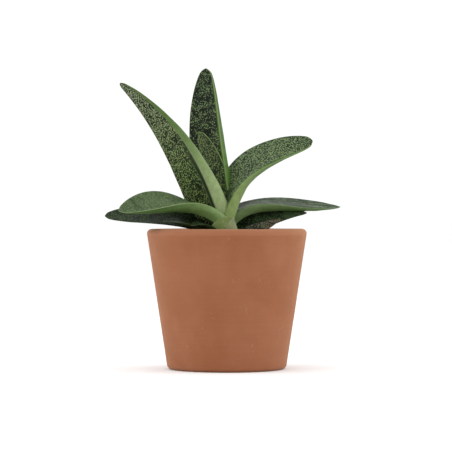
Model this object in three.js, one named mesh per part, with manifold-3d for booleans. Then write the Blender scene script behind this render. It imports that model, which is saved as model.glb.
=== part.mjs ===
// A potted gasteria: a rosette of stiff, keeled leaves on a short stem, in soil, in a plain clay pot.
// Millimetres, +Z up. The origin is the centre of the pot's foot, so the pot stands on z = 0.
import * as THREE from "three";
import { mergeVertices } from "three/addons/utils/BufferGeometryUtils.js";
import Module from "manifold-3d";

// The pot: a straight cone with a rounded rim, and a drain hole in its floor.
const POT_HEIGHT = 92;
const RIM_RADIUS = 52.5;
const FOOT_RADIUS = 38.9;
const WALL = 6.5;
const FLOOR = 7;
const DRAIN_RADIUS = 6.5;
const RIM_ROUNDING = 3.2;
const FOOT_BEVEL = 1.5;
const INNER_FILLET = 5;
const POT_SEGMENTS = 64;

// The soil and the stem that stands in it.
const GAP = 0.3;
const SOIL_TOP = 81;
const STEM_RADIUS = 6;
const STEM_TIP_RADIUS = 2.5;
const STEM_TOP = 93;
const STEM_DEPTH = 22;
const STEM_SEGMENTS = 24;

// How finely a leaf is made: rings along it, and points on each curve of its section.
const RINGS = 22;
const RING_CROWDING = 1.8;
const TIP_RING = 0.996;
const NOSE_LENGTH = 0.03;
const FACE_STEPS = { upper: 3, side: 2, back: 2 };
const CORNER_STEPS = 1;
const CORNER_ROUNDING = 0.16;
const BACK_SWELL = 0.14;
const SIDE_SWELL = 0.06;
const THINNING = 0.5;
const EDGE_SPREAD = 4;
const CAP_DEPTH = 0.4;

const CLAY = { color: 0xa0694b, roughness: 0.9, metalness: 0 };
const EARTH = { color: 0x2d241c, roughness: 1, metalness: 0 };
const PALE_STEM = { color: 0x8f9a6a, roughness: 0.8, metalness: 0 };
const LEAF_GREEN = { color: 0x4a5f38, roughness: 0.6, metalness: 0 };

// Each leaf runs along a Bezier curve from the stem to its tip. width and depth are its greatest, widest is
// how far along that is, waist is the width where it joins the stem, blunt rounds (low) or sharpens the tip, and
// nose is how wide the tip's round end is. keel is where the ridge of its back lies between its edges (-1 to
// 1), at the stem and at the tip. The upper face looks along faceBase at the stem and faceTip at the tip, and
// channel hollows it. The list runs from the innermost leaf outwards.
const LEAVES = [
  {
    name: "leaf_centre_young",
    path: [[-2, 2, 90], [-4, 2, 115], [-9, 3, 140], [-18.2, 4, 156]],
    width: 19, depth: 6, widest: 0.35, waist: 0.8, blunt: 0.55, nose: 0, keel: [0.5, 0.5], channel: 0.15,
    faceBase: [0.35, -0.9, 0], faceTip: [0.35, -0.9, 0.1],
  },
  {
    name: "leaf_centre_tall",
    path: [[-3, 7, 88], [-13.5, 10, 125], [-18.5, 14, 165], [-13.7, 16, 198.6]],
    width: 26.5, depth: 8.5, widest: 0.4, waist: 0.7, blunt: 0.45, nose: 0, keel: [0.9, 0.9], channel: 0.1,
    faceBase: [-0.55, -0.85, 0.1], faceTip: [-0.38, -0.93, 0.1],
  },
  {
    name: "leaf_upper_left",
    path: [[-5, -1, 86], [-17, -4, 122], [-35.5, -13, 160], [-69, -28, 186]],
    width: 29, depth: 9.5, widest: 0.02, waist: 0.98, blunt: 0.95, nose: 0.1, keel: [-0.4, -0.9], channel: 0.1,
    faceBase: [0.15, 0.97, 0.16], faceTip: [0.08, 0.97, 0.16],
  },
  {
    name: "leaf_upper_right",
    path: [[1, 1, 88], [-12, -1, 125], [18, 10, 145], [57.3, 20, 150.5]],
    width: 26, depth: 9, widest: 0.15, waist: 0.9, blunt: 0.39, nose: 0, keel: [0.75, 0.75], channel: 0.1,
    faceBase: [-1, 0.5, 0.3], faceTip: [-0.8, -3.2, 1.3],
  },
  {
    name: "leaf_left_arched",
    path: [[3, -5, 84], [-13, -10, 117.5], [-41, -30, 117], [-69, -45, 103.5]],
    width: 21, depth: 10, widest: 0.6, waist: 0.8, blunt: 0.6, nose: 0, keel: [-0.75, -0.75], channel: 0.1,
    faceBase: [0, 0.6, 1], faceTip: [-0.2, -1.2, 0.5],
  },
  {
    name: "leaf_right_long",
    path: [[-6, -2, 88], [2, -1, 120], [40, 24, 109], [77.6, 50, 106.5]],
    width: 17.5, depth: 7.5, widest: 0.35, waist: 0.7, blunt: 0.65, nose: 0, keel: [0.75, 0.75], channel: 0.15,
    faceBase: [-0.8, -0.3, 0.6], faceTip: [0, -0.8, 0.8],
  },
  {
    name: "leaf_back",
    path: [[-1, 8, 87], [-6, 18, 108], [-13, 34, 118], [-19, 48, 121]],
    width: 19, depth: 7, widest: 0.4, waist: 0.75, blunt: 0.65, nose: 0, keel: [0.6, 0.6], channel: 0.15,
    faceBase: [0.1, -0.5, 0.85], faceTip: [0.1, -0.3, 0.95],
  },
  {
    name: "leaf_left_low",
    path: [[-2, -4, 86], [-22, -8, 104], [-52, -22, 102], [-78.9, -25, 100.4]],
    width: 23, depth: 7, widest: 0.5, waist: 0.75, blunt: 0.45, nose: 0, keel: [0.6, 0.6], channel: 0.15,
    faceBase: [0, -0.6, 0.8], faceTip: [0, -0.6, 0.8],
  },
  {
    name: "leaf_right_under",
    path: [[3, -1, 85], [16, 3, 99], [36, 16, 105], [54, 30, 102.5]],
    width: 20, depth: 6, widest: 0.4, waist: 0.8, blunt: 0.7, nose: 0, keel: [-0.6, -0.6], channel: 0.15,
    faceBase: [0, -0.7, 0.7], faceTip: [0, -0.6, 0.8],
  },
  {
    name: "leaf_back_low",
    path: [[2, 6, 85], [5, 18, 98], [8, 32, 103], [10, 45, 98]],
    width: 15, depth: 6, widest: 0.4, waist: 0.8, blunt: 0.7, nose: 0, keel: [0.5, 0.5], channel: 0.15,
    faceBase: [0, -0.4, 0.9], faceTip: [0, 0.2, 0.95],
  },
  {
    name: "leaf_right_withered",
    path: [[4, -6, 85], [14, -7, 91], [25, -3, 95], [35.5, 3, 98.5]],
    width: 13, depth: 5, widest: 0.35, waist: 0.85, blunt: 0.7, nose: 0, keel: [0.5, 0.5], channel: 0.2,
    faceBase: [0, -0.5, 0.9], faceTip: [0, -0.4, 0.9],
  },
  {
    name: "leaf_left_small",
    path: [[-3, -8, 85], [-14, -15, 96], [-28, -23, 99], [-41, -30, 97]],
    width: 14, depth: 5, widest: 0.4, waist: 0.85, blunt: 0.7, nose: 0, keel: [-0.5, -0.5], channel: 0.2,
    faceBase: [0, -0.4, 0.95], faceTip: [0, -0.4, 0.95],
  },
  {
    name: "leaf_front_short",
    path: [[0, -11, 85], [-8, -17, 95], [-16, -24, 99], [-23, -30, 94]],
    width: 12, depth: 5, widest: 0.4, waist: 0.9, blunt: 0.6, nose: 0, keel: [-0.5, -0.5], channel: 0.2,
    faceBase: [0, -0.3, 0.95], faceTip: [0, -0.3, 0.95],
  },
  {
    name: "leaf_front_sheath",
    path: [[-2, -16, 82], [-3, -18.5, 89], [-1, -20, 95], [4.5, -19.5, 99.5]],
    width: 21, depth: 4, widest: 0.3, waist: 0.9, blunt: 0.8, nose: 0, keel: [0, 0], channel: 0.2,
    faceBase: [0, 1, 0.2], faceTip: [0, 1, 0.2],
  },
];

const wasm = await Module();
wasm.setup();

function asSolid(geometry) {
  const bare = geometry.clone();
  bare.deleteAttribute("normal");
  bare.deleteAttribute("uv");
  const merged = mergeVertices(bare, 1e-4);
  return new wasm.Manifold(new wasm.Mesh({
    numProp: 3,
    vertProperties: new Float32Array(merged.attributes.position.array),
    triVerts: new Uint32Array(merged.index.array),
  }));
}

function asGeometry(solid) {
  const mesh = solid.getMesh();
  const geometry = new THREE.BufferGeometry();
  geometry.setAttribute("position", new THREE.BufferAttribute(new Float32Array(mesh.vertProperties), 3));
  geometry.setIndex([...mesh.triVerts]);
  geometry.computeVertexNormals();
  return geometry;
}

function named(name, geometry, look) {
  const mesh = new THREE.Mesh(geometry, new THREE.MeshStandardMaterial(look));
  mesh.name = name;
  return mesh;
}

// Turns an outline of [radius, height] points about the upright axis.
function turned(outline, segments) {
  const lathe = new THREE.LatheGeometry(outline.map(([r, z]) => new THREE.Vector2(r, z)), segments);
  return lathe.rotateX(Math.PI / 2);
}

// An arc of an ellipse about (r, z), from one angle to another, as [radius, height] points.
function arc(r, z, radiusR, radiusZ, from, to, steps) {
  return Array.from({ length: steps + 1 }, (_, i) => {
    const angle = from + ((to - from) * i) / steps;
    return [r + radiusR * Math.cos(angle), z + radiusZ * Math.sin(angle)];
  });
}

// The pot's outer radius at a height, on the straight part of its cone.
function potRadius(z) {
  return FOOT_RADIUS + ((RIM_RADIUS - FOOT_RADIUS) * z) / (POT_HEIGHT - RIM_ROUNDING);
}

function potGeometry() {
  const rimBase = POT_HEIGHT - RIM_ROUNDING;
  const lip = WALL / 2;
  const innerFoot = potRadius(FLOOR) - WALL;
  const outline = [
    [DRAIN_RADIUS, 0],
    [potRadius(0) - FOOT_BEVEL, 0],
    [potRadius(FOOT_BEVEL), FOOT_BEVEL],
    ...arc(RIM_RADIUS - lip, rimBase, lip, RIM_ROUNDING, 0, Math.PI, 8),
    ...arc(innerFoot - INNER_FILLET, FLOOR + INNER_FILLET, INNER_FILLET, INNER_FILLET, 0, -Math.PI / 2, 3),
    [DRAIN_RADIUS, FLOOR],
    [DRAIN_RADIUS, 0],
  ];
  return turned(outline, POT_SEGMENTS);
}

// The soil fills the pot, with a socket on the axis for the stem.
function soilGeometry(gap) {
  const wall = WALL + GAP - gap;
  const bottom = FLOOR + GAP - gap;
  const bend = bottom + INNER_FILLET;
  const socket = STEM_RADIUS + GAP - gap;
  const top = SOIL_TOP + gap;
  const outline = [
    [0, bottom],
    ...arc(potRadius(FLOOR) - wall - INNER_FILLET, bend, INNER_FILLET, INNER_FILLET, -Math.PI / 2, 0, 3),
    [potRadius(top) - wall, top],
    [socket, top],
    [socket, SOIL_TOP - STEM_DEPTH - GAP + gap],
    [0, SOIL_TOP - STEM_DEPTH - GAP + gap],
  ];
  return turned(outline, POT_SEGMENTS);
}

function stemGeometry(gap) {
  const outline = [
    [0, SOIL_TOP - STEM_DEPTH],
    [STEM_RADIUS + gap, SOIL_TOP - STEM_DEPTH],
    [STEM_RADIUS + gap, SOIL_TOP],
    [STEM_TIP_RADIUS + gap, STEM_TOP],
    [0, STEM_TOP + gap],
  ];
  return turned(outline, STEM_SEGMENTS);
}

// The leaf's section, one unit deep and two across: the upper face, the narrow side face beside the keel, and
// the broad back face. Its three corners are rounded.
function sectionOutline({ keel, channel }, t) {
  const ridge = new THREE.Vector2(THREE.MathUtils.lerp(...keel, t), -1);
  const corners = [new THREE.Vector2(-1, 0), new THREE.Vector2(1, 0), ridge];
  const swells = [-channel, SIDE_SWELL, BACK_SWELL];
  const steps = [FACE_STEPS.upper, FACE_STEPS.side, FACE_STEPS.back];
  const points = [];
  corners.forEach((corner, i) => {
    const next = corners[(i + 1) % 3];
    const previous = corners[(i + 2) % 3];
    const entry = corner.clone().lerp(previous, CORNER_ROUNDING);
    const exit = corner.clone().lerp(next, CORNER_ROUNDING);
    const arrival = next.clone().lerp(corner, CORNER_ROUNDING);
    const along = next.clone().sub(corner).normalize();
    const outwards = new THREE.Vector2(-along.y, along.x).multiplyScalar(swells[i] * 2);
    const middle = exit.clone().lerp(arrival, 0.5).add(outwards);
    const rounding = new THREE.QuadraticBezierCurve(entry, corner, exit).getPoints(CORNER_STEPS);
    const face = new THREE.QuadraticBezierCurve(exit, middle, arrival).getPoints(steps[i]);
    points.push(...rounding, ...face.slice(1, -1));
  });
  return points;
}

function leafWidth(leaf, t) {
  const rise = Math.min(1, t / leaf.widest);
  const base = leaf.waist + (1 - leaf.waist) * Math.sin((rise * Math.PI) / 2);
  return leaf.width * base * tipShape(leaf, t);
}

function leafDepth(leaf, t) {
  return leaf.depth * (1 - THINNING * t) * tipShape(leaf, t);
}

// How full the leaf is at t: 1 at its widest place, less towards the tip, which ends in a small round nose.
function tipShape(leaf, t) {
  const left = Math.min(1, (1 - t) / (1 - leaf.widest));
  const taper = Math.sin((left * Math.PI) / 2) ** leaf.blunt;
  const rounding = Math.sqrt(1 - Math.max(0, 1 - (1 - t) / NOSE_LENGTH) ** 2);
  return (leaf.nose + (1 - leaf.nose) * taper) * rounding;
}

// Where the leaf is at t, from 0 at the stem to 1 at its tip, and which way it faces there.
function leafFrame(leaf, curve, t) {
  const along = curve.getTangentAt(t);
  const up = new THREE.Vector3(...leaf.faceBase).lerp(new THREE.Vector3(...leaf.faceTip), t);
  up.addScaledVector(along, -up.dot(along)).normalize();
  return { centre: curve.getPointAt(t), along, up, across: along.clone().cross(up) };
}

// Lofts the section along the leaf's curve. A gap makes the leaf that much larger all round, and its thin
// edges reach EDGE_SPREAD times as far, so that the faces beside them clear the leaf too.
function leafGeometry(leaf, gap) {
  const curve = new THREE.CubicBezierCurve3(...leaf.path.map((p) => new THREE.Vector3(...p)));
  const base = leafFrame(leaf, curve, 0);
  const tip = leafFrame(leaf, curve, 1);
  base.centre.addScaledVector(base.up, -leaf.depth * CAP_DEPTH).addScaledVector(base.along, -gap);
  tip.centre.addScaledVector(tip.along, gap);
  const points = [base.centre];
  const count = sectionOutline(leaf, 0).length;
  for (let ring = 0; ring <= RINGS; ring += 1) {
    const t = TIP_RING * (1 - (1 - ring / RINGS) ** RING_CROWDING);
    const { centre, along, up, across } = leafFrame(leaf, curve, t);
    centre.addScaledVector(along, gap * (2 * t - 1));
    const half = leafWidth(leaf, t) / 2 + gap * EDGE_SPREAD;
    const depth = leafDepth(leaf, t) + gap * EDGE_SPREAD;
    for (const { x, y } of sectionOutline(leaf, t)) {
      points.push(centre.clone().addScaledVector(across, x * half).addScaledVector(up, y * depth + gap));
    }
  }
  points.push(tip.centre);
  const last = 1 + RINGS * count;
  const faces = [];
  for (let j = 0; j < count; j += 1) {
    const next = (j + 1) % count;
    faces.push(0, 1 + next, 1 + j);
    for (let low = 1; low < last; low += count) {
      const high = low + count;
      faces.push(low + j, low + next, high + next, low + j, high + next, high + j);
    }
    faces.push(points.length - 1, last + j, last + next);
  }
  const geometry = new THREE.BufferGeometry().setFromPoints(points);
  geometry.setIndex(faces);
  return geometry;
}

// The largest piece of a solid: cutting a leaf by its neighbours can leave crumbs beside the stem.
function largest(solid) {
  return solid.decompose().sort((a, b) => b.volume() - a.volume())[0];
}

const plant = new THREE.Group();
plant.add(named("pot", potGeometry(), CLAY));
plant.add(named("soil", soilGeometry(0), EARTH));
plant.add(named("stem", stemGeometry(0), PALE_STEM));

// Each leaf clasps the stem and the leaves inside it, so it is cut to their shapes.
let inside = asSolid(stemGeometry(GAP)).add(asSolid(soilGeometry(GAP)));
for (const leaf of LEAVES) {
  const cut = largest(asSolid(leafGeometry(leaf, 0)).subtract(inside));
  plant.add(named(leaf.name, asGeometry(cut), LEAF_GREEN));
  inside = inside.add(asSolid(leafGeometry(leaf, GAP)));
}

export default plant;
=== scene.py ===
"""A potted gasteria: stiff, keeled, warty leaves on a short stem, in soil, in a plain clay pot.

Sizes are in millimetres, as in the part's source, except those of the view and the studio, which are in
metres. Meshes are made in metres.
"""

import math

import bpy
import numpy as np
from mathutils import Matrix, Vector


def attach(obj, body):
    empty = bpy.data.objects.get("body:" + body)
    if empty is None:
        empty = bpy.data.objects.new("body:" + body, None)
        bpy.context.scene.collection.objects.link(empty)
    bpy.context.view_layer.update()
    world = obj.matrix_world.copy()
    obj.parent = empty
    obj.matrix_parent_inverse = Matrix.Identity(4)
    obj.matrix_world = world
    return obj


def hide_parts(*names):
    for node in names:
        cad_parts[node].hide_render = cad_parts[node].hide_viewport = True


MM = 0.001
TINY = 1e-9

# The view, in metres: a long lens, a little above the pot's rim and almost level. FRAME_WIDTH is how much of
# the scene the picture takes in at the pot, and SENSOR_WIDTH is in millimetres.
CAMERA_DISTANCE = 1.47
CAMERA_HEIGHT = 0.102
CAMERA_SIDESTEP = -0.0005
AIM_HEIGHT = 0.0938
FRAME_WIDTH = 0.297
SENSOR_WIDTH = 36
NEAREST_SEEN = 0.05

# The studio, in metres: white all round, a white floor, and soft lamps with their places and powers.
SURROUND_BRIGHTNESS = 1.04
LAMPS = {
    "left": ((-1.5, 0.1, 0.7), 6),
    "right": ((1.5, 0.2, 0.7), 7),
    "top": ((-0.3, -0.3, 1.8), 3),
}
LAMP_WIDTH = 1.0
LAMP_AIM = (0, 0, 0.1)
FLOOR_REACH = 30
FLOOR_CLOUD = 0.4
FLOOR_WHITES = ((0.98, 0.98, 0.98, 1), (0.99, 0.99, 0.99, 1))

# The pot and the soil, as their CAD pieces have them, but with the foot's edge worn rounder.
POT_HEIGHT = 92
RIM_RADIUS = 52.5
FOOT_RADIUS = 38.9
WALL = 6.5
FLOOR = 7
DRAIN_RADIUS = 6.5
RIM_ROUNDING = 3.2
FOOT_BEVEL = 3
INNER_FILLET = 5
SOIL_TOP = 81
GAP = 0.3
POT_SEGMENTS = 240

# The pot's relief: broad waves and fine turning lines, with their heights and their sizes around the pot and
# up it. It fades out below RELIEF_START, and the drain hole and DRAIN_MARGIN beside it have none. The rim's
# band of painted highlight, paler where its rounding turns up to the light, starts at RIM_HIGHLIGHT_HEIGHT,
# blurred by RIM_HIGHLIGHT_BLUR.
POT_SEED = 7
WAVE_HEIGHT = 0.2
WAVE_SIZE = (40, 18)
TURNING_HEIGHT = 0.05
TURNING_SIZE = (60, 1.6)
RELIEF_START = 3
DRAIN_MARGIN = 1
RIM_HIGHLIGHT_HEIGHT = 88
RIM_HIGHLIGHT_BLUR = 0.8

# The soil's relief: lumps, crumbs of two sizes and pale chips, with their heights and sizes, and how much of
# the soil the last two cover. SOIL_DIP lowers it all, and it fades out over SOIL_MARGIN beside the pot. A
# chip is pale above CHIP_RIM, as a share of its height. SOIL_EDGE bevels the soil's edge, and SOIL_EYE is the
# radius of the pinhole left on the axis.
SOIL_SEED = 11
LUMP_HEIGHT = 1.2
LUMP_SIZE = (5, 5)
CRUMB_HEIGHT = 0.9
CRUMB_SIZE = 2.4
SMALL_CRUMB_SIZE = 1.3
SMALL_CRUMB_SHARE = 0.6
CRUMB_COVER = 0.8
CHIP_HEIGHT = 0.9
CHIP_SIZE = 5.5
CHIP_COVER = 0.3
CHIP_RIM = 0.2
CHIP_SHARPNESS = 3
SOIL_DIP = 0.5
SOIL_MARGIN = 2
SOIL_EDGE = 0.6
SOIL_EYE = 0.5

# How finely leaves are made: how far apart their points lie, on leaves broader than BROAD_LEAF and on the
# others, how much the rings crowd towards the tip, where along the leaf the last ring is, and the least steps
# across a face of a section and the steps round its corners. The samples are of a leaf's curve, for its
# length and for its frames.
FINE_SPACING = 0.35
PLAIN_SPACING = 0.45
BROAD_LEAF = 20
RING_CROWDING = 1.15
TIP_RING = 0.998
FACE_STEPS = 4
CORNER_STEPS = 4
LENGTH_SAMPLES = 200
FRAME_SAMPLES = 400

# What all leaves share: how far they run on into the stem, how much of a leaf the rounding of its tip takes,
# how rounded a section's corners are, how far its side and back swell, how much the leaf thins towards the
# tip, and how far below the curve the middle of its root's cap lies, as a share of the depth there.
ROOT_LENGTH = 5
NOSE_LENGTH = 0.03
CORNER_ROUNDING = 0.1
SIDE_SWELL = 0.06
BACK_SWELL = 0.14
THINNING = 0.5
CAP_DEPTH = 0.4

# Places on a section's outline: its faces, and the corner that is the keel. FACE_GAP keeps the patterns of
# the faces apart.
UPPER_FACE, SIDE_FACE, BACK_FACE = 0, 1, 2
KEEL_CORNER = 2
FACE_GAP = 60

# The leaves' warts: how far apart they lie and how high they stand. Small ones fill in between, with a
# spacing, a height and a cover that are shares of the large ones'. WART_RADII are shares of the spacing, for
# the soil's crumbs and chips too.
FIRST_LEAF_SEED = 100
WART_SPACING = 1.12
WART_HEIGHT = 0.09
WART_RADII = (0.28, 0.5)
SMALL_WART_SPACING = 0.65
SMALL_WART_HEIGHT = 0.7
SMALL_WART_COVER = 0.6

# The leaves' cross-bands, flecks, streaks and unevenness, with their sizes along the leaf and across it. The
# bands wander by up to WANDER. The warts follow them as strongly as BAND_PULL says, but less where the cover
# nears MOST_COVER. The ground's colour follows them too, but for FLECK_SHARE of it, which the flecks give.
# Faces other than the upper one have UNDERSIDE_STREAKS of the streaks. The relief is full where the leaf is
# at least FULL_RELIEF_WIDTH wide.
BAND_SIZE = (3, 8)
WANDER = 6
WANDER_SIZE = (12, 4)
BAND_PULL = 1.1
MOST_COVER = 1.25
FLECK_SIZE = (1.2, 1.2)
FLECK_SHARE = 0.3
STREAK_SIZE = (24, 0.7)
UNDERSIDE_STREAKS = 0.5
UNEVEN_SIZE = (9, 6)
UNEVEN_HEIGHT = 0.35
FULL_RELIEF_WIDTH = 4

# The leaves' edges: the width of their pale line and its strength along the keel, the bare skin beside it and
# how softly the warts start there, and how soft the limit of the plain side is.
EDGE_WIDTH = 0.5
KEEL_LINE = 0.3
BARE_EDGE = 0.35
BARE_BLUR = 0.6
SPILL_BLUR = 0.5

# The stripes beside the keel: how far from it each lies, its width and its strength. They are full near the
# stem and have faded out at STRIPE_END along the leaf. Over STRIPED_WIDTH beside the keel the warts are
# cleared, STRIPE_CLEARING times as strongly as the stripes show.
DARK_STRIPES = ((1, 0.5, 1), (2.8, 0.5, 1))
PALE_STRIPES = ((1.9, 0.4, 1), (3.7, 0.35, 0.6))
STRIPED_WIDTH = 4.2
STRIPE_END = 0.65
STRIPE_FADING = 2
STRIPE_GROOVE = 0.1
STRIPE_CLEARING = 1.5
FAR_FROM_KEEL = 99

# Colours as 0-255 values. Those of the leaves are in LOOKS. The rim's colour is painted highlight on the
# rounded rim, and the foot's is painted shadow where the pot stands on the floor.
COLOURS = dict(
    dark_stripe=(18, 32, 12), pale_stripe=(112, 130, 84),
    brown_clay=(144, 88, 58), warm_clay=(149, 94, 65), rim_highlight_clay=(160, 106, 78), foot_shadow_clay=(92, 52, 34),
    scuffed_clay=(196, 160, 134),
    dark_soil=(28, 21, 15), brown_soil=(62, 47, 34), pale_chip=(188, 182, 170),
    green_stem=(120, 132, 86), pale_stem=(150, 152, 110),
)

# Each leaf's curve, from the stem to its tip, and its proportions, as its CAD piece has them. width and depth
# are the greatest, widest is how far along the leaf that width is, and waist is the width at the stem as a
# share of it. A low value of blunt fills the tip out and a high one draws it to a point, and nose is the
# least share of the width that is left there. keel is where the back's ridge lies between the edges, from -1
# to 1, at the stem and at the tip. channel hollows the upper face, which looks along face_base at the stem
# and along face_tip at the tip. look is the leaf's kind of skin.
LEAVES = {
    "leaf_centre_young": dict(
        path=[(-2, 2, 90), (-4, 2, 115), (-9, 3, 140), (-18.2, 4, 156)],
        width=19, depth=6, widest=0.35, waist=0.8, blunt=0.55, nose=0, keel=(0.5, 0.5), channel=0.15,
        face_base=(0.35, -0.9, 0), face_tip=(0.35, -0.9, 0.1), look="young",
    ),
    "leaf_centre_tall": dict(
        path=[(-3, 7, 88), (-13.5, 10, 125), (-18.5, 14, 165), (-13.7, 16, 198.6)],
        width=26.5, depth=8.5, widest=0.4, waist=0.7, blunt=0.45, nose=0, keel=(0.9, 0.9), channel=0.1,
        face_base=(-0.55, -0.85, 0.1), face_tip=(-0.38, -0.93, 0.1), look="tall",
    ),
    "leaf_upper_left": dict(
        path=[(-5, -1, 86), (-17, -4, 122), (-35.5, -13, 160), (-69, -28, 186)],
        width=29, depth=9.5, widest=0.02, waist=0.98, blunt=0.95, nose=0.1, keel=(-0.4, -0.9), channel=0.1,
        face_base=(0.15, 0.97, 0.16), face_tip=(0.08, 0.97, 0.16), look="speckled",
    ),
    "leaf_upper_right": dict(
        path=[(1, 1, 88), (-12, -1, 125), (18, 10, 145), (57.3, 20, 150.5)],
        width=26, depth=9, widest=0.15, waist=0.9, blunt=0.39, nose=0, keel=(0.75, 0.75), channel=0.1,
        face_base=(-1, 0.5, 0.3), face_tip=(-0.8, -3.2, 1.3), look="grey",
    ),
    "leaf_left_arched": dict(
        path=[(3, -5, 84), (-13, -10, 117.5), (-41, -30, 117), (-69, -45, 103.5)],
        width=21, depth=10, widest=0.6, waist=0.8, blunt=0.6, nose=0, keel=(-0.75, -0.75), channel=0.1,
        face_base=(0, 0.6, 1), face_tip=(-0.2, -1.2, 0.5), look="mottled",
    ),
    "leaf_right_long": dict(
        path=[(-6, -2, 88), (2, -1, 120), (40, 24, 109), (77.6, 50, 106.5)],
        width=17.5, depth=7.5, widest=0.35, waist=0.7, blunt=0.65, nose=0, keel=(0.75, 0.75), channel=0.15,
        face_base=(-0.8, -0.3, 0.6), face_tip=(0, -0.8, 0.8), look="streaked",
    ),
    "leaf_back": dict(
        path=[(-1, 8, 87), (-6, 18, 108), (-13, 34, 118), (-19, 48, 121)],
        width=19, depth=7, widest=0.4, waist=0.75, blunt=0.65, nose=0, keel=(0.6, 0.6), channel=0.15,
        face_base=(0.1, -0.5, 0.85), face_tip=(0.1, -0.3, 0.95), look="mottled",
    ),
    "leaf_left_low": dict(
        path=[(-2, -4, 86), (-22, -8, 104), (-52, -22, 102), (-78.9, -25, 100.4)],
        width=23, depth=7, widest=0.5, waist=0.75, blunt=0.45, nose=0, keel=(0.6, 0.6), channel=0.15,
        face_base=(0, -0.6, 0.8), face_tip=(0, -0.6, 0.8), look="dark",
    ),
    "leaf_right_under": dict(
        path=[(3, -1, 85), (16, 3, 99), (36, 16, 105), (54, 30, 102.5)],
        width=20, depth=6, widest=0.4, waist=0.8, blunt=0.7, nose=0, keel=(-0.6, -0.6), channel=0.15,
        face_base=(0, -0.7, 0.7), face_tip=(0, -0.6, 0.8), look="dark",
    ),
    "leaf_back_low": dict(
        path=[(2, 6, 85), (5, 18, 98), (8, 32, 103), (10, 45, 98)],
        width=15, depth=6, widest=0.4, waist=0.8, blunt=0.7, nose=0, keel=(0.5, 0.5), channel=0.15,
        face_base=(0, -0.4, 0.9), face_tip=(0, 0.2, 0.95), look="dark",
    ),
    "leaf_right_withered": dict(
        path=[(4, -6, 85), (14, -7, 91), (25, -3, 95), (35.5, 3, 98.5)],
        width=13, depth=5, widest=0.35, waist=0.85, blunt=0.7, nose=0, keel=(0.5, 0.5), channel=0.2,
        face_base=(0, -0.5, 0.9), face_tip=(0, -0.4, 0.9), look="withered",
    ),
    "leaf_left_small": dict(
        path=[(-3, -8, 85), (-14, -15, 96), (-28, -23, 99), (-41, -30, 97)],
        width=14, depth=5, widest=0.4, waist=0.85, blunt=0.7, nose=0, keel=(-0.5, -0.5), channel=0.2,
        face_base=(0, -0.4, 0.95), face_tip=(0, -0.4, 0.95), look="dark",
    ),
    "leaf_front_short": dict(
        path=[(0, -11, 85), (-8, -17, 95), (-16, -24, 99), (-23, -30, 94)],
        width=12, depth=5, widest=0.4, waist=0.9, blunt=0.6, nose=0, keel=(-0.5, -0.5), channel=0.2,
        face_base=(0, -0.3, 0.95), face_tip=(0, -0.3, 0.95), look="dark",
    ),
    "leaf_front_sheath": dict(
        path=[(-2, -16, 82), (-3, -18.5, 89), (-1, -20, 95), (4.5, -19.5, 99.5)],
        width=21, depth=4, widest=0.3, waist=0.9, blunt=0.8, nose=0, keel=(0, 0), channel=0.2,
        face_base=(0, 1, 0.2), face_tip=(0, 1, 0.2), look="sheath",
    ),
}

# The colours of each kind of skin as 0-255 values: the ground between the warts and the paler ground of its
# bands, the warts at the stem and at the tip, the plain side face at the stem and at the tip, and the edges.
# cover is how much of the skin the warts take at the stem and at the tip. streaks draws faint dark lines
# along the leaf, lines draws the stripes beside the keel, and spill is how far the plain colour runs over the
# edge, as a share of the width.
LOOKS = {
    "speckled": dict(
        ground=(12, 27, 6), band=(26, 44, 14), wart=(114, 132, 76), tip_wart=(132, 142, 110),
        side=(142, 160, 110), tip_side=(74, 100, 46), edge=(138, 138, 112),
        cover=(0.42, 1.0), streaks=0.0, lines=1.0, spill=0.0,
    ),
    "tall": dict(
        ground=(10, 19, 9), band=(16, 27, 13), wart=(112, 130, 80), tip_wart=(90, 108, 72),
        side=(84, 124, 46), tip_side=(66, 98, 44), edge=(140, 150, 104),
        cover=(0.3, 0.6), streaks=0.0, lines=0.0, spill=0.07,
    ),
    "young": dict(
        ground=(16, 30, 9), band=(30, 46, 17), wart=(98, 116, 58), tip_wart=(96, 110, 70),
        side=(118, 146, 80), tip_side=(90, 116, 60), edge=(128, 152, 92),
        cover=(0.5, 0.75), streaks=0.0, lines=0.0, spill=0.05,
    ),
    "grey": dict(
        ground=(24, 37, 20), band=(44, 60, 35), wart=(114, 134, 90), tip_wart=(114, 134, 92),
        side=(124, 144, 84), tip_side=(84, 110, 58), edge=(112, 134, 84),
        cover=(0.7, 0.85), streaks=0.25, lines=0.0, spill=0.09,
    ),
    "mottled": dict(
        ground=(42, 62, 30), band=(74, 94, 54), wart=(96, 116, 78), tip_wart=(92, 108, 80),
        side=(112, 138, 80), tip_side=(56, 80, 34), edge=(130, 148, 104),
        cover=(0.6, 0.75), streaks=0.3, lines=0.0, spill=0.02,
    ),
    "streaked": dict(
        ground=(38, 50, 34), band=(86, 102, 76), wart=(104, 118, 94), tip_wart=(110, 124, 98),
        side=(98, 120, 74), tip_side=(66, 90, 40), edge=(96, 116, 74),
        cover=(0.4, 0.7), streaks=0.9, lines=0.0, spill=0.03,
    ),
    # Low leaves under the others: partly their own deep green, and partly painted shade from the leaves
    # above.
    "dark": dict(
        ground=(12, 24, 10), band=(22, 36, 17), wart=(60, 80, 48), tip_wart=(66, 86, 50),
        side=(36, 54, 26), tip_side=(36, 54, 26), edge=(84, 98, 60),
        cover=(0.5, 0.65), streaks=0.2, lines=0.0, spill=0.0,
    ),
    "withered": dict(
        ground=(22, 28, 17), band=(34, 40, 26), wart=(96, 104, 86), tip_wart=(120, 106, 82),
        side=(48, 56, 34), tip_side=(92, 66, 42), edge=(112, 92, 62),
        cover=(0.5, 0.7), streaks=0.6, lines=0.0, spill=0.0,
    ),
    "sheath": dict(
        ground=(106, 126, 66), band=(124, 140, 84), wart=(132, 146, 98), tip_wart=(150, 156, 120),
        side=(122, 138, 84), tip_side=(142, 150, 110), edge=(156, 160, 122),
        cover=(0.1, 0.1), streaks=0.5, lines=0.0, spill=0.0,
    ),
}


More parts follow.
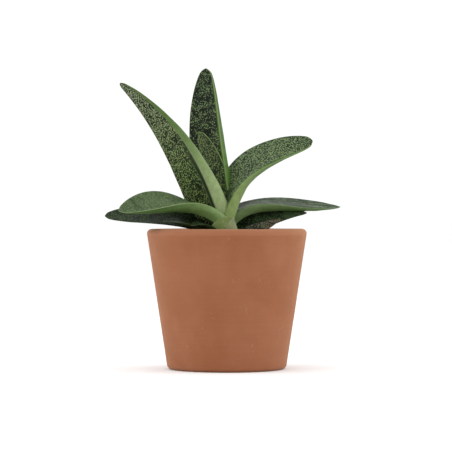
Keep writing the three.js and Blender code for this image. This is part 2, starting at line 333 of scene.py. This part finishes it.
def linear(colour):
    """A colour given as 0-255 display values, as the linear values that shaders take."""
    values = [v / 255 for v in colour]
    return (*(v / 12.92 if v <= 0.04045 else ((v + 0.055) / 1.055) ** 2.4 for v in values), 1)


def blend(ends, share):
    """A value or a direction that goes from one end to the other as share goes from 0 to 1."""
    start, end = np.array(ends, float)
    return start + share * (end - start)


# ---------------------------------------------------------------- noise


def smooth_noise(rng, x, y, size):
    """Soft random values from 0 to 1 at the points (x, y), with features about size[0] by size[1] across."""
    across, along = (x - x.min()) / size[0], (y - y.min()) / size[1]
    column, row = across.astype(int), along.astype(int)
    lattice = rng.random((column.max() + 2, row.max() + 2))
    right, up = (part * part * (3 - 2 * part) for part in (across - column, along - row))
    low = lattice[column, row] * (1 - right) + lattice[column + 1, row] * right
    high = lattice[column, row + 1] * (1 - right) + lattice[column + 1, row + 1] * right
    return low * (1 - up) + high * up


def wart_field(rng, x, y, cell, cover):
    """Low round warts over the points (x, y), as heights from 0 to 1: one for each cell of a jittered grid,
    left out where cover, from 0 to 1, is low."""
    across, along = (x - x.min()) / cell + 1, (y - y.min()) / cell + 1
    own_column, own_row = across.astype(int), along.astype(int)
    shape = (own_column.max() + 2, own_row.max() + 2)
    place_x, place_y = rng.random(shape), rng.random(shape)
    radius = rng.uniform(*WART_RADII, shape)
    chance = rng.random(shape)
    height = np.zeros_like(across)
    for column in (own_column - 1, own_column, own_column + 1):
        for row in (own_row - 1, own_row, own_row + 1):
            away_x, away_y = across - column - place_x[column, row], along - row - place_y[column, row]
            here = np.clip(1 - (away_x**2 + away_y**2) / radius[column, row] ** 2, 0, 1)
            height = np.maximum(height, np.where(chance[column, row] < cover, here, 0))
    return height


# ---------------------------------------------------------------- meshes


def new_piece(name, points, faces, attributes):
    """An object with a mesh of its own. attributes holds a value for each point, under names that the
    material reads."""
    mesh = bpy.data.meshes.new(name)
    mesh.from_pydata(points.tolist(), [], faces)
    mesh.shade_smooth()
    for key, values in attributes.items():
        layer = mesh.attributes.new(key, "FLOAT", "POINT")
        layer.data.foreach_set("value", np.asarray(values, np.float32))
    piece = bpy.data.objects.new(name, mesh)
    bpy.context.collection.objects.link(piece)
    return piece


# ---------------------------------------------------------------- leaves


def bezier(start, first, second, end, u):
    """Points and directions on a cubic Bezier curve."""
    points = (1 - u) ** 3 * start + 3 * (1 - u) ** 2 * u * first + 3 * (1 - u) * u**2 * second + u**3 * end
    along = (1 - u) ** 2 * (first - start) + 2 * (1 - u) * u * (second - first) + u**2 * (end - second)
    return points, along / np.linalg.norm(along, axis=1, keepdims=True)


def quadratic(start, middle, end, steps):
    """Points on a quadratic Bezier curve."""
    u = np.linspace(0, 1, steps + 1)[:, None]
    return (1 - u) ** 2 * start + 2 * (1 - u) * u * middle + u**2 * end


def leaf_path(leaf):
    return [np.array(point, float) for point in leaf["path"]]


def leaf_length(leaf):
    points, _ = bezier(*leaf_path(leaf), np.linspace(0, 1, LENGTH_SAMPLES)[:, None])
    return np.linalg.norm(np.diff(points, axis=0), axis=1).sum()


def leaf_frames(leaf, t):
    """Centres, and the directions across and up, at the places t along the leaf, from 0 at the stem to 1 at
    the tip. Below 0 the leaf runs straight on into the stem."""
    path = leaf_path(leaf)
    samples = np.linspace(0, 1, FRAME_SAMPLES)[:, None]
    points, _ = bezier(*path, samples)
    lengths = np.concatenate([[0], np.cumsum(np.linalg.norm(np.diff(points, axis=0), axis=1))])
    on_leaf = np.clip(t, 0, 1)
    u = np.interp(on_leaf * lengths[-1], lengths, samples[:, 0])[:, None]
    centre, along = bezier(*path, u)
    centre += along * np.minimum(t, 0)[:, None] * lengths[-1]
    up = blend((leaf["face_base"], leaf["face_tip"]), on_leaf[:, None])
    up -= along * (up * along).sum(axis=1, keepdims=True)
    up /= np.linalg.norm(up, axis=1, keepdims=True)
    return centre, np.cross(along, up), up


def spacing(leaf):
    return FINE_SPACING if leaf["width"] > BROAD_LEAF else PLAIN_SPACING


def section_outline(leaf, t):
    """The leaf's sections at the places t, one unit deep and two across, and where each of their points lies
    on the outline: from 0 to 1 across the upper face, to 2 across the side face and to 3 across the back."""
    keel = blend(leaf["keel"], np.clip(t, 0, 1))
    one = np.ones_like(t)
    corners = [np.stack(pair, axis=1)[:, None] for pair in ((-one, 0 * t), (one, 0 * t), (keel, -one))]
    swells = (-leaf["channel"], SIDE_SWELL, BACK_SWELL)
    points, places = [], []
    for i in range(3):
        corner, following, previous = corners[i], corners[(i + 1) % 3], corners[(i + 2) % 3]
        reach = np.linalg.norm((following - corner)[0, 0] * (leaf["width"] / 2, leaf["depth"]))
        steps = max(FACE_STEPS, int(reach / spacing(leaf)))
        entry = corner + (previous - corner) * CORNER_ROUNDING
        leave = corner + (following - corner) * CORNER_ROUNDING
        arrive = following + (corner - following) * CORNER_ROUNDING
        along = (following - corner) / np.linalg.norm(following - corner, axis=-1, keepdims=True)
        outwards = np.stack((-along[..., 1], along[..., 0]), axis=-1)
        # A quadratic curve reaches half as far out as its middle point, so that point lies twice as far out.
        middle = (leave + arrive) / 2 + outwards * swells[i] * 2
        points.append(quadratic(entry, corner, leave, CORNER_STEPS))
        points.append(quadratic(leave, middle, arrive, steps)[:, 1:-1])
        places.append(np.linspace(i - CORNER_ROUNDING, i + CORNER_ROUNDING, CORNER_STEPS + 1))
        places.append(np.linspace(i + CORNER_ROUNDING, i + 1 - CORNER_ROUNDING, steps + 1)[1:-1])
    return np.concatenate(points, axis=1), np.concatenate(places) % 3


def tip_shape(leaf, t):
    """How full the leaf is at t: 1 at the widest place, and less towards the tip, which ends in a small round
    nose."""
    left = np.clip((1 - t) / (1 - leaf["widest"]), 0, 1)
    taper = np.sin(left * math.pi / 2) ** leaf["blunt"]
    rounding = np.sqrt(1 - np.clip(1 - (1 - t) / NOSE_LENGTH, 0, 1) ** 2)
    return (leaf["nose"] + (1 - leaf["nose"]) * taper) * rounding


def leaf_width(leaf, t):
    rise = np.clip(t / leaf["widest"], 0, 1)
    base = leaf["waist"] + (1 - leaf["waist"]) * np.sin(rise * math.pi / 2)
    return leaf["width"] * base * tip_shape(leaf, t)


def leaf_depth(leaf, t):
    return leaf["depth"] * (1 - THINNING * np.maximum(t, 0)) * tip_shape(leaf, t)


def hump(distance, reach):
    """1 at distance 0, falling softly to nothing over about reach."""
    return np.exp(-((distance / reach) ** 2))


def leaf_skin(rng, leaf, look, t, place, width):
    """What the skin is like at each point of a leaf: attributes from 0 to 1, and relief in millimetres. place
    is where the point lies on the outline of its section."""
    distance = t * leaf_length(leaf)
    face = place.astype(int)
    corner = np.round(place)
    spread = (place - face - 0.5) * width + FACE_GAP * face
    plain_face = SIDE_FACE if leaf["keel"][0] > 0 else BACK_FACE
    from_edge = np.abs(place - corner) * width
    at_keel = corner == KEEL_CORNER

    # Broad cross-bands, which the warts follow: they crowd in some and leave others dark.
    wander = WANDER * smooth_noise(rng, distance, spread, WANDER_SIZE)
    band = smooth_noise(rng, distance + wander, spread, BAND_SIZE)
    fleck = smooth_noise(rng, distance, spread, FLECK_SIZE)
    share = blend(look["cover"], np.clip(t, 0, 1))
    cover = share + BAND_PULL * (band - 0.5) * (MOST_COVER - share)
    large = wart_field(rng, distance, spread, WART_SPACING, cover)
    small = wart_field(rng, distance, spread, WART_SPACING * SMALL_WART_SPACING, SMALL_WART_COVER * cover)
    warts = np.maximum(large, SMALL_WART_HEIGHT * small)

    # The plain side spills over its outer edge onto the upper face.
    spill = np.where(at_keel | (face != UPPER_FACE), -1, look["spill"] * width - from_edge)
    beside_plain = corner % 3 == (1 if plain_face == SIDE_FACE else 0)
    spilt = np.where(beside_plain, np.clip(spill / SPILL_BLUR + 0.5, 0, 1), 0)
    side = np.where(face == plain_face, 1, spilt)
    warts *= np.clip((from_edge - BARE_EDGE) / BARE_BLUR, 0, 1) * (1 - side)
    edge = np.where(at_keel, KEEL_LINE, 1) * hump(from_edge, EDGE_WIDTH)

    # Stripes run beside the keel, on the face that isn't plain, and fade towards the tip.
    from_keel = np.where((face != plain_face) & at_keel, from_edge, FAR_FROM_KEEL)
    fade = look["lines"] * np.clip(STRIPE_FADING * (STRIPE_END - t), 0, 1)
    dark, pale = (
        fade * sum(strength * hump(from_keel - away, reach) for away, reach, strength in stripes)
        for stripes in (DARK_STRIPES, PALE_STRIPES)
    )
    warts *= np.where(from_keel < STRIPED_WIDTH, 1 - np.clip(fade * STRIPE_CLEARING, 0, 1), 1)

    lengthways = smooth_noise(rng, distance, spread, STREAK_SIZE)
    streak = look["streaks"] * lengthways * np.where(face == UPPER_FACE, 1, UNDERSIDE_STREAKS)
    uneven = smooth_noise(rng, distance, spread, UNEVEN_SIZE) - 0.5
    relief = WART_HEIGHT * warts + UNEVEN_HEIGHT * uneven - STRIPE_GROOVE * dark
    attributes = dict(
        wart=warts, band=(1 - FLECK_SHARE) * band + FLECK_SHARE * fleck, side=side, edge=edge, stripe=dark,
        pale_stripe=pale, streak=streak, along=np.clip(t, 0, 1),
    )
    return attributes, relief


def leaf_faces(rings, count):
    """The faces of a tube of rings, each a circle of count points, and of the caps on its ends, whose middle
    points come after all the rings."""
    low = np.arange(rings - 1)[:, None] * count
    own = np.arange(count)
    following = (own + 1) % count
    quads = np.stack([low + own, low + following, low + count + following, low + count + own], axis=-1)
    base, tip, last = rings * count, rings * count + 1, (rings - 1) * count
    base_cap = np.stack([np.full(count, base), following, own], axis=-1)
    tip_cap = np.stack([np.full(count, tip), last + own, last + following], axis=-1)
    return quads.reshape(-1, 4).tolist() + base_cap.tolist() + tip_cap.tolist()


def leaf_piece(index, name, leaf):
    rng = np.random.default_rng(FIRST_LEAF_SEED + index)
    length = leaf_length(leaf)
    root = -ROOT_LENGTH / length
    steps = np.linspace(0, 1, int(length / spacing(leaf)) + 1)
    t = root + (TIP_RING - root) * (1 - (1 - steps) ** RING_CROWDING)
    section, place = section_outline(leaf, t)
    centre, across, up = leaf_frames(leaf, t)
    width = leaf_width(leaf, t)
    depth = leaf_depth(leaf, t)
    surface = (
        centre[:, None]
        + across[:, None] * (section[..., 0] * width[:, None] / 2)[..., None]
        + up[:, None] * (section[..., 1] * depth[:, None])[..., None]
    )

    # The relief is laid on along the normals, and is less where the leaf is narrow.
    around = np.roll(surface, -1, axis=1) - np.roll(surface, 1, axis=1)
    normals = np.cross(around, np.gradient(surface, axis=0))
    normals /= np.maximum(np.linalg.norm(normals, axis=2, keepdims=True), TINY)
    attributes, relief = leaf_skin(
        rng, leaf, LOOKS[leaf["look"]], *np.broadcast_arrays(t[:, None], place[None], width[:, None])
    )
    fullness = np.clip(width / FULL_RELIEF_WIDTH, 0, 1)[:, None]
    surface = surface + normals * (relief * fullness)[..., None]

    base_middle = centre[0] - up[0] * depth[0] * CAP_DEPTH
    tip_middle = centre[-1] + (centre[-1] - centre[-2]) / 2
    points = np.concatenate([surface.reshape(-1, 3), [base_middle, tip_middle]]) * MM
    with_caps = {
        key: np.concatenate([values.ravel(), [values[0].mean(), values[-1].mean()]])
        for key, values in attributes.items()
    }
    piece = new_piece(name + "_skin", points, leaf_faces(len(t), len(place)), with_caps)
    piece.data.materials.append(leaf_materials[leaf["look"]])
    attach(piece, "root")
    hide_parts(name)


# ---------------------------------------------------------------- materials


class Graph:
    """A material whose nodes are made by short calls, which take numbers, colours or sockets as values."""

    def __init__(self, name):
        self.material = bpy.data.materials.new(name)
        self.material.use_nodes = True
        self.tree = self.material.node_tree
        self.shader = self.tree.nodes["Principled BSDF"]

    def feed(self, socket, value):
        if isinstance(value, bpy.types.NodeSocket):
            self.tree.links.new(value, socket)
        else:
            socket.default_value = value

    def node(self, kind, inputs=(), **settings):
        made = self.tree.nodes.new(kind)
        for key, value in settings.items():
            setattr(made, key, value)
        for key, value in dict(inputs).items():
            self.feed(made.inputs[key], value)
        return made

    def attribute(self, name):
        return self.node("ShaderNodeAttribute", attribute_name=name).outputs["Fac"]

    def place(self, stretch=(1, 1, 1)):
        """Object coordinates in millimetres, stretched."""
        spot = self.node("ShaderNodeTexCoord").outputs["Object"]
        scale = tuple(s / MM for s in stretch)
        return self.node("ShaderNodeMapping", {"Vector": spot, "Scale": scale}).outputs["Vector"]

    def noise(self, size, detail, stretch=(1, 1, 1)):
        """Soft noise from 0 to 1, with features of about size in millimetres."""
        inputs = {"Vector": self.place(stretch), "Scale": 1 / size, "Detail": detail}
        return self.node("ShaderNodeTexNoise", inputs).outputs["Fac"]

    def dots(self, size):
        """Small round dots about size apart, in millimetres: 1 in the middle of a dot and 0 between them."""
        inputs = {"Vector": self.place(), "Scale": 1 / size}
        away = self.node("ShaderNodeTexVoronoi", inputs).outputs["Distance"]
        return self.remap(away, 0.15, 0.4, 1.0, 0.0)

    def remap(self, value, low, high, out_low=0.0, out_high=1.0):
        """value eased from out_low to out_high, as it goes from low to high."""
        inputs = {"Value": value, "From Min": low, "From Max": high, "To Min": out_low, "To Max": out_high}
        return self.node("ShaderNodeMapRange", inputs, interpolation_type="SMOOTHSTEP").outputs["Result"]

    def maths(self, operation, a, b):
        return self.node("ShaderNodeMath", {0: a, 1: b}, operation=operation).outputs["Value"]

    def mix(self, factor, a, b, blend_type="MIX"):
        """The colour a where factor is 0 and b where it is 1."""
        inputs = {"Factor": factor, "A": a, "B": b}
        made = self.node("ShaderNodeMix", data_type="RGBA", blend_type=blend_type)
        for socket in made.inputs:
            if socket.name in inputs and socket.enabled:
                self.feed(socket, inputs[socket.name])
        return next(socket for socket in made.outputs if socket.enabled)

    def shade(self, colour, value, low, high):
        """colour multiplied by low where value is 0 and by high where it is 1."""
        grey = self.node("ShaderNodeCombineColor")
        tone = self.remap(value, 0.0, 1.0, low, high)
        for channel in ("Red", "Green", "Blue"):
            self.feed(grey.inputs[channel], tone)
        return self.mix(1.0, colour, grey.outputs["Color"], "MULTIPLY")

    def bump(self, height, strength, reach):
        """Normals for the relief that height gives, which stands out by reach in millimetres."""
        inputs = {"Height": height, "Strength": strength, "Distance": reach * MM}
        return self.node("ShaderNodeBump", inputs).outputs["Normal"]

    def finish(self, colour, roughness, normal=None, **constants):
        self.feed(self.shader.inputs["Base Color"], colour)
        self.feed(self.shader.inputs["Roughness"], roughness)
        if normal is not None:
            self.feed(self.shader.inputs["Normal"], normal)
        for key, value in constants.items():
            self.shader.inputs[key.replace("_", " ")].default_value = value
        return self.material


def leaf_material(name, look):
    g = Graph("leaf_" + name)
    along = g.attribute("along")
    grain = g.noise(size=0.8, detail=4)
    # The warty skin: dark ground, paler bands, warts and dark streaks.
    ground = g.mix(g.attribute("band"), linear(look["ground"]), linear(look["band"]))
    wart_colour = g.mix(g.remap(along, 0.3, 1.0), linear(look["wart"]), linear(look["tip_wart"]))
    wart_colour = g.shade(wart_colour, g.noise(size=2.2, detail=2), low=0.8, high=1.2)
    colour = g.mix(g.remap(g.attribute("wart"), 0.1, 0.5), ground, wart_colour)
    streak = g.remap(g.attribute("streak"), 0.35, 0.65, 0.0, 0.85)
    colour = g.mix(streak, colour, linear(look["ground"]))
    # The plain side, finely dotted.
    side = g.mix(g.remap(along, 0.12, 0.75), linear(look["side"]), linear(look["tip_side"]))
    side = g.shade(side, g.noise(size=4, detail=4), low=0.8, high=1.2)
    side = g.shade(side, g.dots(size=0.9), low=0.97, high=1.14)
    colour = g.mix(g.attribute("side"), colour, side)
    # The stripes and the edges.
    colour = g.mix(g.attribute("stripe"), colour, linear(COLOURS["dark_stripe"]))
    colour = g.mix(g.attribute("pale_stripe"), colour, linear(COLOURS["pale_stripe"]))
    colour = g.mix(g.attribute("edge"), colour, linear(look["edge"]))
    colour = g.shade(colour, grain, low=0.84, high=1.16)
    roughness = g.remap(g.noise(size=3, detail=4), 0.3, 0.7, 0.4, 0.56)
    return g.finish(colour, roughness, g.bump(grain, strength=0.2, reach=0.2), Specular_IOR_Level=0.16)


def clay_material():
    """Low-fired clay, with broad brown and warm patches, faint turning lines, fine grain and pale scuffs."""
    g = Graph("terracotta")
    grain = g.noise(size=0.5, detail=4)
    patches = g.remap(g.noise(size=34, detail=3), 0.35, 0.65)
    colour = g.mix(patches, linear(COLOURS["brown_clay"]), linear(COLOURS["warm_clay"]))
    colour = g.shade(colour, g.noise(size=8, detail=5), low=0.95, high=1.05)
    colour = g.shade(colour, g.noise(size=1.4, detail=3, stretch=(0.05, 0.05, 1)), low=0.96, high=1.04)
    colour = g.shade(colour, grain, low=0.93, high=1.07)
    # Scuffs are specks and upright scratches, in some places only.
    scuffed = g.remap(g.noise(size=10, detail=3), 0.54, 0.66)
    specks = g.remap(g.noise(size=0.8, detail=2), 0.67, 0.72)
    scratches = g.remap(g.noise(size=1.1, detail=1, stretch=(1.4, 1, 0.16)), 0.71, 0.75)
    scuffs = g.maths("MULTIPLY", scuffed, g.maths("MAXIMUM", specks, scratches))
    colour = g.mix(g.maths("MULTIPLY", scuffs, 0.45), colour, linear(COLOURS["scuffed_clay"]))
    # The rim is painted paler, as painted highlight where its rounding turns up to the light, and the foot is
    # painted darker, as painted shadow where the pot stands on the floor.
    height = g.node("ShaderNodeSeparateXYZ", {"Vector": g.place()}).outputs["Z"]
    rim = g.remap(height, RIM_HIGHLIGHT_HEIGHT - RIM_HIGHLIGHT_BLUR, RIM_HIGHLIGHT_HEIGHT + RIM_HIGHLIGHT_BLUR)
    colour = g.mix(g.maths("MULTIPLY", rim, 0.55), colour, linear(COLOURS["rim_highlight_clay"]))
    # Painted shadow: a thin dark line at the foot, where the pot stands on the floor.
    foot = g.remap(height, 0.4, 2.0, 0.35, 0.0)
    colour = g.mix(foot, colour, linear(COLOURS["foot_shadow_clay"]))
    roughness = g.remap(grain, 0.3, 0.7, 0.85, 0.97)
    normal = g.bump(g.maths("ADD", grain, g.noise(size=1.6, detail=4)), strength=0.3, reach=0.3)
    return g.finish(
        colour, roughness, normal,
        Specular_IOR_Level=0.25, Sheen_Weight=0.2, Sheen_Roughness=0.5, Sheen_Tint=(1, 0.72, 0.45, 1),
    )


def soil_material():
    g = Graph("potting_mix")
    patches = g.remap(g.noise(size=2.2, detail=5), 0.35, 0.65)
    colour = g.mix(patches, linear(COLOURS["dark_soil"]), linear(COLOURS["brown_soil"]))
    colour = g.mix(g.attribute("pale"), colour, linear(COLOURS["pale_chip"]))
    normal = g.bump(g.noise(size=0.6, detail=4), strength=0.6, reach=0.4)
    return g.finish(colour, 0.95, normal, Specular_IOR_Level=0.15)


def stem_material():
    g = Graph("stem_flesh")
    patches = g.noise(size=3, detail=4)
    colour = g.mix(patches, linear(COLOURS["green_stem"]), linear(COLOURS["pale_stem"]))
    return g.finish(colour, 0.7, g.bump(g.noise(size=0.8, detail=3), strength=0.3, reach=0.2))


# ---------------------------------------------------------------- pot and soil


def arc(r, z, radius_r, radius_z, start, end, steps):
    """Points on an arc about (r, z), between two angles."""
    angle = np.linspace(start, end, steps + 1)
    return np.stack([r + radius_r * np.cos(angle), z + radius_z * np.sin(angle)], axis=1)


def run(start, end, steps):
    """Points on a straight line."""
    return np.linspace(start, end, steps + 1)


def pot_radius(z):
    return FOOT_RADIUS + (RIM_RADIUS - FOOT_RADIUS) * z / (POT_HEIGHT - RIM_ROUNDING)


def pot_outline():
    """The pot's closed outline as [radius, height] points, close enough together to carry its relief."""
    rim_base = POT_HEIGHT - RIM_ROUNDING
    lip = WALL / 2
    edge = pot_radius(0) - FOOT_BEVEL
    bevel_reach = pot_radius(FOOT_BEVEL) - edge
    fillet_r = pot_radius(FLOOR) - WALL - INNER_FILLET
    corner = arc(fillet_r, FLOOR + INNER_FILLET, INNER_FILLET, INNER_FILLET, 0, -math.pi / 2, 6)
    pieces = [
        run((DRAIN_RADIUS, 0), (edge, 0), 10),
        arc(edge, FOOT_BEVEL, bevel_reach, FOOT_BEVEL, -math.pi / 2, 0, 8),
        run((pot_radius(FOOT_BEVEL), FOOT_BEVEL), (RIM_RADIUS, rim_base), 100)[1:],
        arc(RIM_RADIUS - lip, rim_base, lip, RIM_ROUNDING, 0, math.pi, 20)[1:],
        run((RIM_RADIUS - WALL, rim_base), corner[0], 40)[1:],
        corner[1:],
        run(corner[-1], (DRAIN_RADIUS, FLOOR), 8)[1:],
        run((DRAIN_RADIUS, FLOOR), (DRAIN_RADIUS, 0), 4)[1:-1],
    ]
    return np.concatenate(pieces)


def turned_piece(name, outline, relief):
    """A closed outline turned about the pot's axis. It goes out along the bottom, up the outside and back in.
    relief(angle, radius, height) gives how far its surface is lifted outwards, and its points' attributes."""
    count = len(outline)
    angle = np.arange(POT_SEGMENTS)[:, None] * 2 * math.pi / POT_SEGMENTS
    radius, height = np.broadcast_arrays(outline[:, 0][None], outline[:, 1][None])
    slope = np.roll(outline, -1, axis=0) - np.roll(outline, 1, axis=0)
    slope /= np.maximum(np.linalg.norm(slope, axis=1, keepdims=True), TINY)
    lift, attributes = relief(*np.broadcast_arrays(angle, radius, height))
    radius = radius + slope[:, 1] * lift
    height = height - slope[:, 0] * lift
    points = np.stack([radius * np.cos(angle), radius * np.sin(angle), height], axis=-1)
    turn, own = np.meshgrid(np.arange(POT_SEGMENTS), np.arange(count), indexing="ij")
    here, there = turn * count, (turn + 1) % POT_SEGMENTS * count
    following = (own + 1) % count
    faces = np.stack([here + own, there + own, there + following, here + following], axis=-1)
    values = {key: value.ravel() for key, value in attributes.items()}
    return new_piece(name, points.reshape(-1, 3) * MM, faces.reshape(-1, 4).tolist(), values)


def pot_piece():
    rng = np.random.default_rng(POT_SEED)

    def relief(angle, radius, height):
        turn = angle * RIM_RADIUS
        free = np.clip(height / RELIEF_START, 0, 1) * np.where(radius > DRAIN_RADIUS + DRAIN_MARGIN, 1, 0)
        waves = smooth_noise(rng, turn, height, WAVE_SIZE) - 0.5
        rings = smooth_noise(rng, turn, height, TURNING_SIZE) - 0.5
        return free * (WAVE_HEIGHT * waves + TURNING_HEIGHT * rings), {}

    piece = turned_piece("pot_clay", pot_outline(), relief)
    piece.data.materials.append(clay_material())
    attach(piece, "root")
    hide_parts("pot")


def soil_piece():
    rng = np.random.default_rng(SOIL_SEED)
    bottom = FLOOR + GAP
    bottom_radius = pot_radius(FLOOR) - WALL - GAP
    top_radius = pot_radius(SOIL_TOP) - WALL - GAP
    outline = np.concatenate([
        run((SOIL_EYE, bottom), (bottom_radius - INNER_FILLET, bottom), 4),
        run((bottom_radius, bottom + INNER_FILLET), (top_radius, SOIL_TOP - SOIL_EDGE), 12),
        run((top_radius - SOIL_EDGE, SOIL_TOP), (SOIL_EYE, SOIL_TOP), 110),
    ])

    def relief(angle, radius, height):
        x, y = radius * np.cos(angle), radius * np.sin(angle)
        lumps = smooth_noise(rng, x, y, LUMP_SIZE) - 0.5
        crumbs = wart_field(rng, x, y, CRUMB_SIZE, CRUMB_COVER)
        crumbs += SMALL_CRUMB_SHARE * wart_field(rng, x, y, SMALL_CRUMB_SIZE, CRUMB_COVER)
        chips = wart_field(rng, x, y, CHIP_SIZE, CHIP_COVER)
        from_pot = np.clip((top_radius - radius) / SOIL_MARGIN, 0, 1)
        on_top = np.where(height > SOIL_TOP - SOIL_EDGE / 2, from_pot, 0)
        lift = LUMP_HEIGHT * lumps + CRUMB_HEIGHT * crumbs + CHIP_HEIGHT * chips - SOIL_DIP
        return on_top * lift, dict(pale=on_top * np.clip((chips - CHIP_RIM) * CHIP_SHARPNESS, 0, 1))

    piece = turned_piece("soil_mix", outline, relief)
    piece.data.materials.append(soil_material())
    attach(piece, "root")
    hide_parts("soil")


# ---------------------------------------------------------------- view and studio


def camera():
    data = bpy.data.cameras.new("camera")
    data.sensor_width = SENSOR_WIDTH
    data.lens = SENSOR_WIDTH * CAMERA_DISTANCE / FRAME_WIDTH
    data.clip_start = NEAREST_SEEN
    made = bpy.data.objects.new("camera", data)
    bpy.context.collection.objects.link(made)
    made.location = (CAMERA_SIDESTEP, -CAMERA_DISTANCE, CAMERA_HEIGHT)
    tilt = math.atan((CAMERA_HEIGHT - AIM_HEIGHT) / CAMERA_DISTANCE)
    made.rotation_euler = (math.pi / 2 - tilt, 0, 0)
    bpy.context.scene.camera = made


def lamp(name, place, power):
    data = bpy.data.lights.new(name, "AREA")
    data.shape = "DISK"
    data.size = LAMP_WIDTH
    data.energy = power
    made = bpy.data.objects.new(name, data)
    bpy.context.collection.objects.link(made)
    made.location = place
    made.rotation_euler = (Vector(LAMP_AIM) - Vector(place)).to_track_quat("-Z", "Y").to_euler()


def surroundings():
    world = bpy.data.worlds.new("studio")
    world.use_nodes = True
    background = world.node_tree.nodes["Background"]
    background.inputs["Color"].default_value = (1, 1, 1, 1)
    background.inputs["Strength"].default_value = SURROUND_BRIGHTNESS
    bpy.context.scene.world = world
    bpy.context.scene.view_settings.view_transform = "Standard"


def white_floor():
    corners = np.array([(-1, -1, 0), (1, -1, 0), (1, 1, 0), (-1, 1, 0)]) * FLOOR_REACH
    floor = new_piece("floor", corners, [(0, 1, 2, 3)], {})
    g = Graph("floor")
    floor.data.materials.append(g.finish(g.mix(g.noise(FLOOR_CLOUD / MM, detail=2), *FLOOR_WHITES), 0.9))


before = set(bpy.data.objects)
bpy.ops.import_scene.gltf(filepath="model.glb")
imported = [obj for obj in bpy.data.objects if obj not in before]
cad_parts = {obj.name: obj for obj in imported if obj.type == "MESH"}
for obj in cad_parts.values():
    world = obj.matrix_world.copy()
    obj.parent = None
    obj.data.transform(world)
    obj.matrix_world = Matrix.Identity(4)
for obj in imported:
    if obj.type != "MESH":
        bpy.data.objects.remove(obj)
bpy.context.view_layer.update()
camera()
leaf_materials = {name: leaf_material(name, look) for name, look in LOOKS.items()}
pot_piece()
soil_piece()
for index, (name, leaf) in enumerate(LEAVES.items()):
    leaf_piece(index, name, leaf)
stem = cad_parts["stem"]
for slot in stem.material_slots:
    slot.material = stem_material()
for name, (place, power) in LAMPS.items():
    lamp(name, place, power)
surroundings()
white_floor()
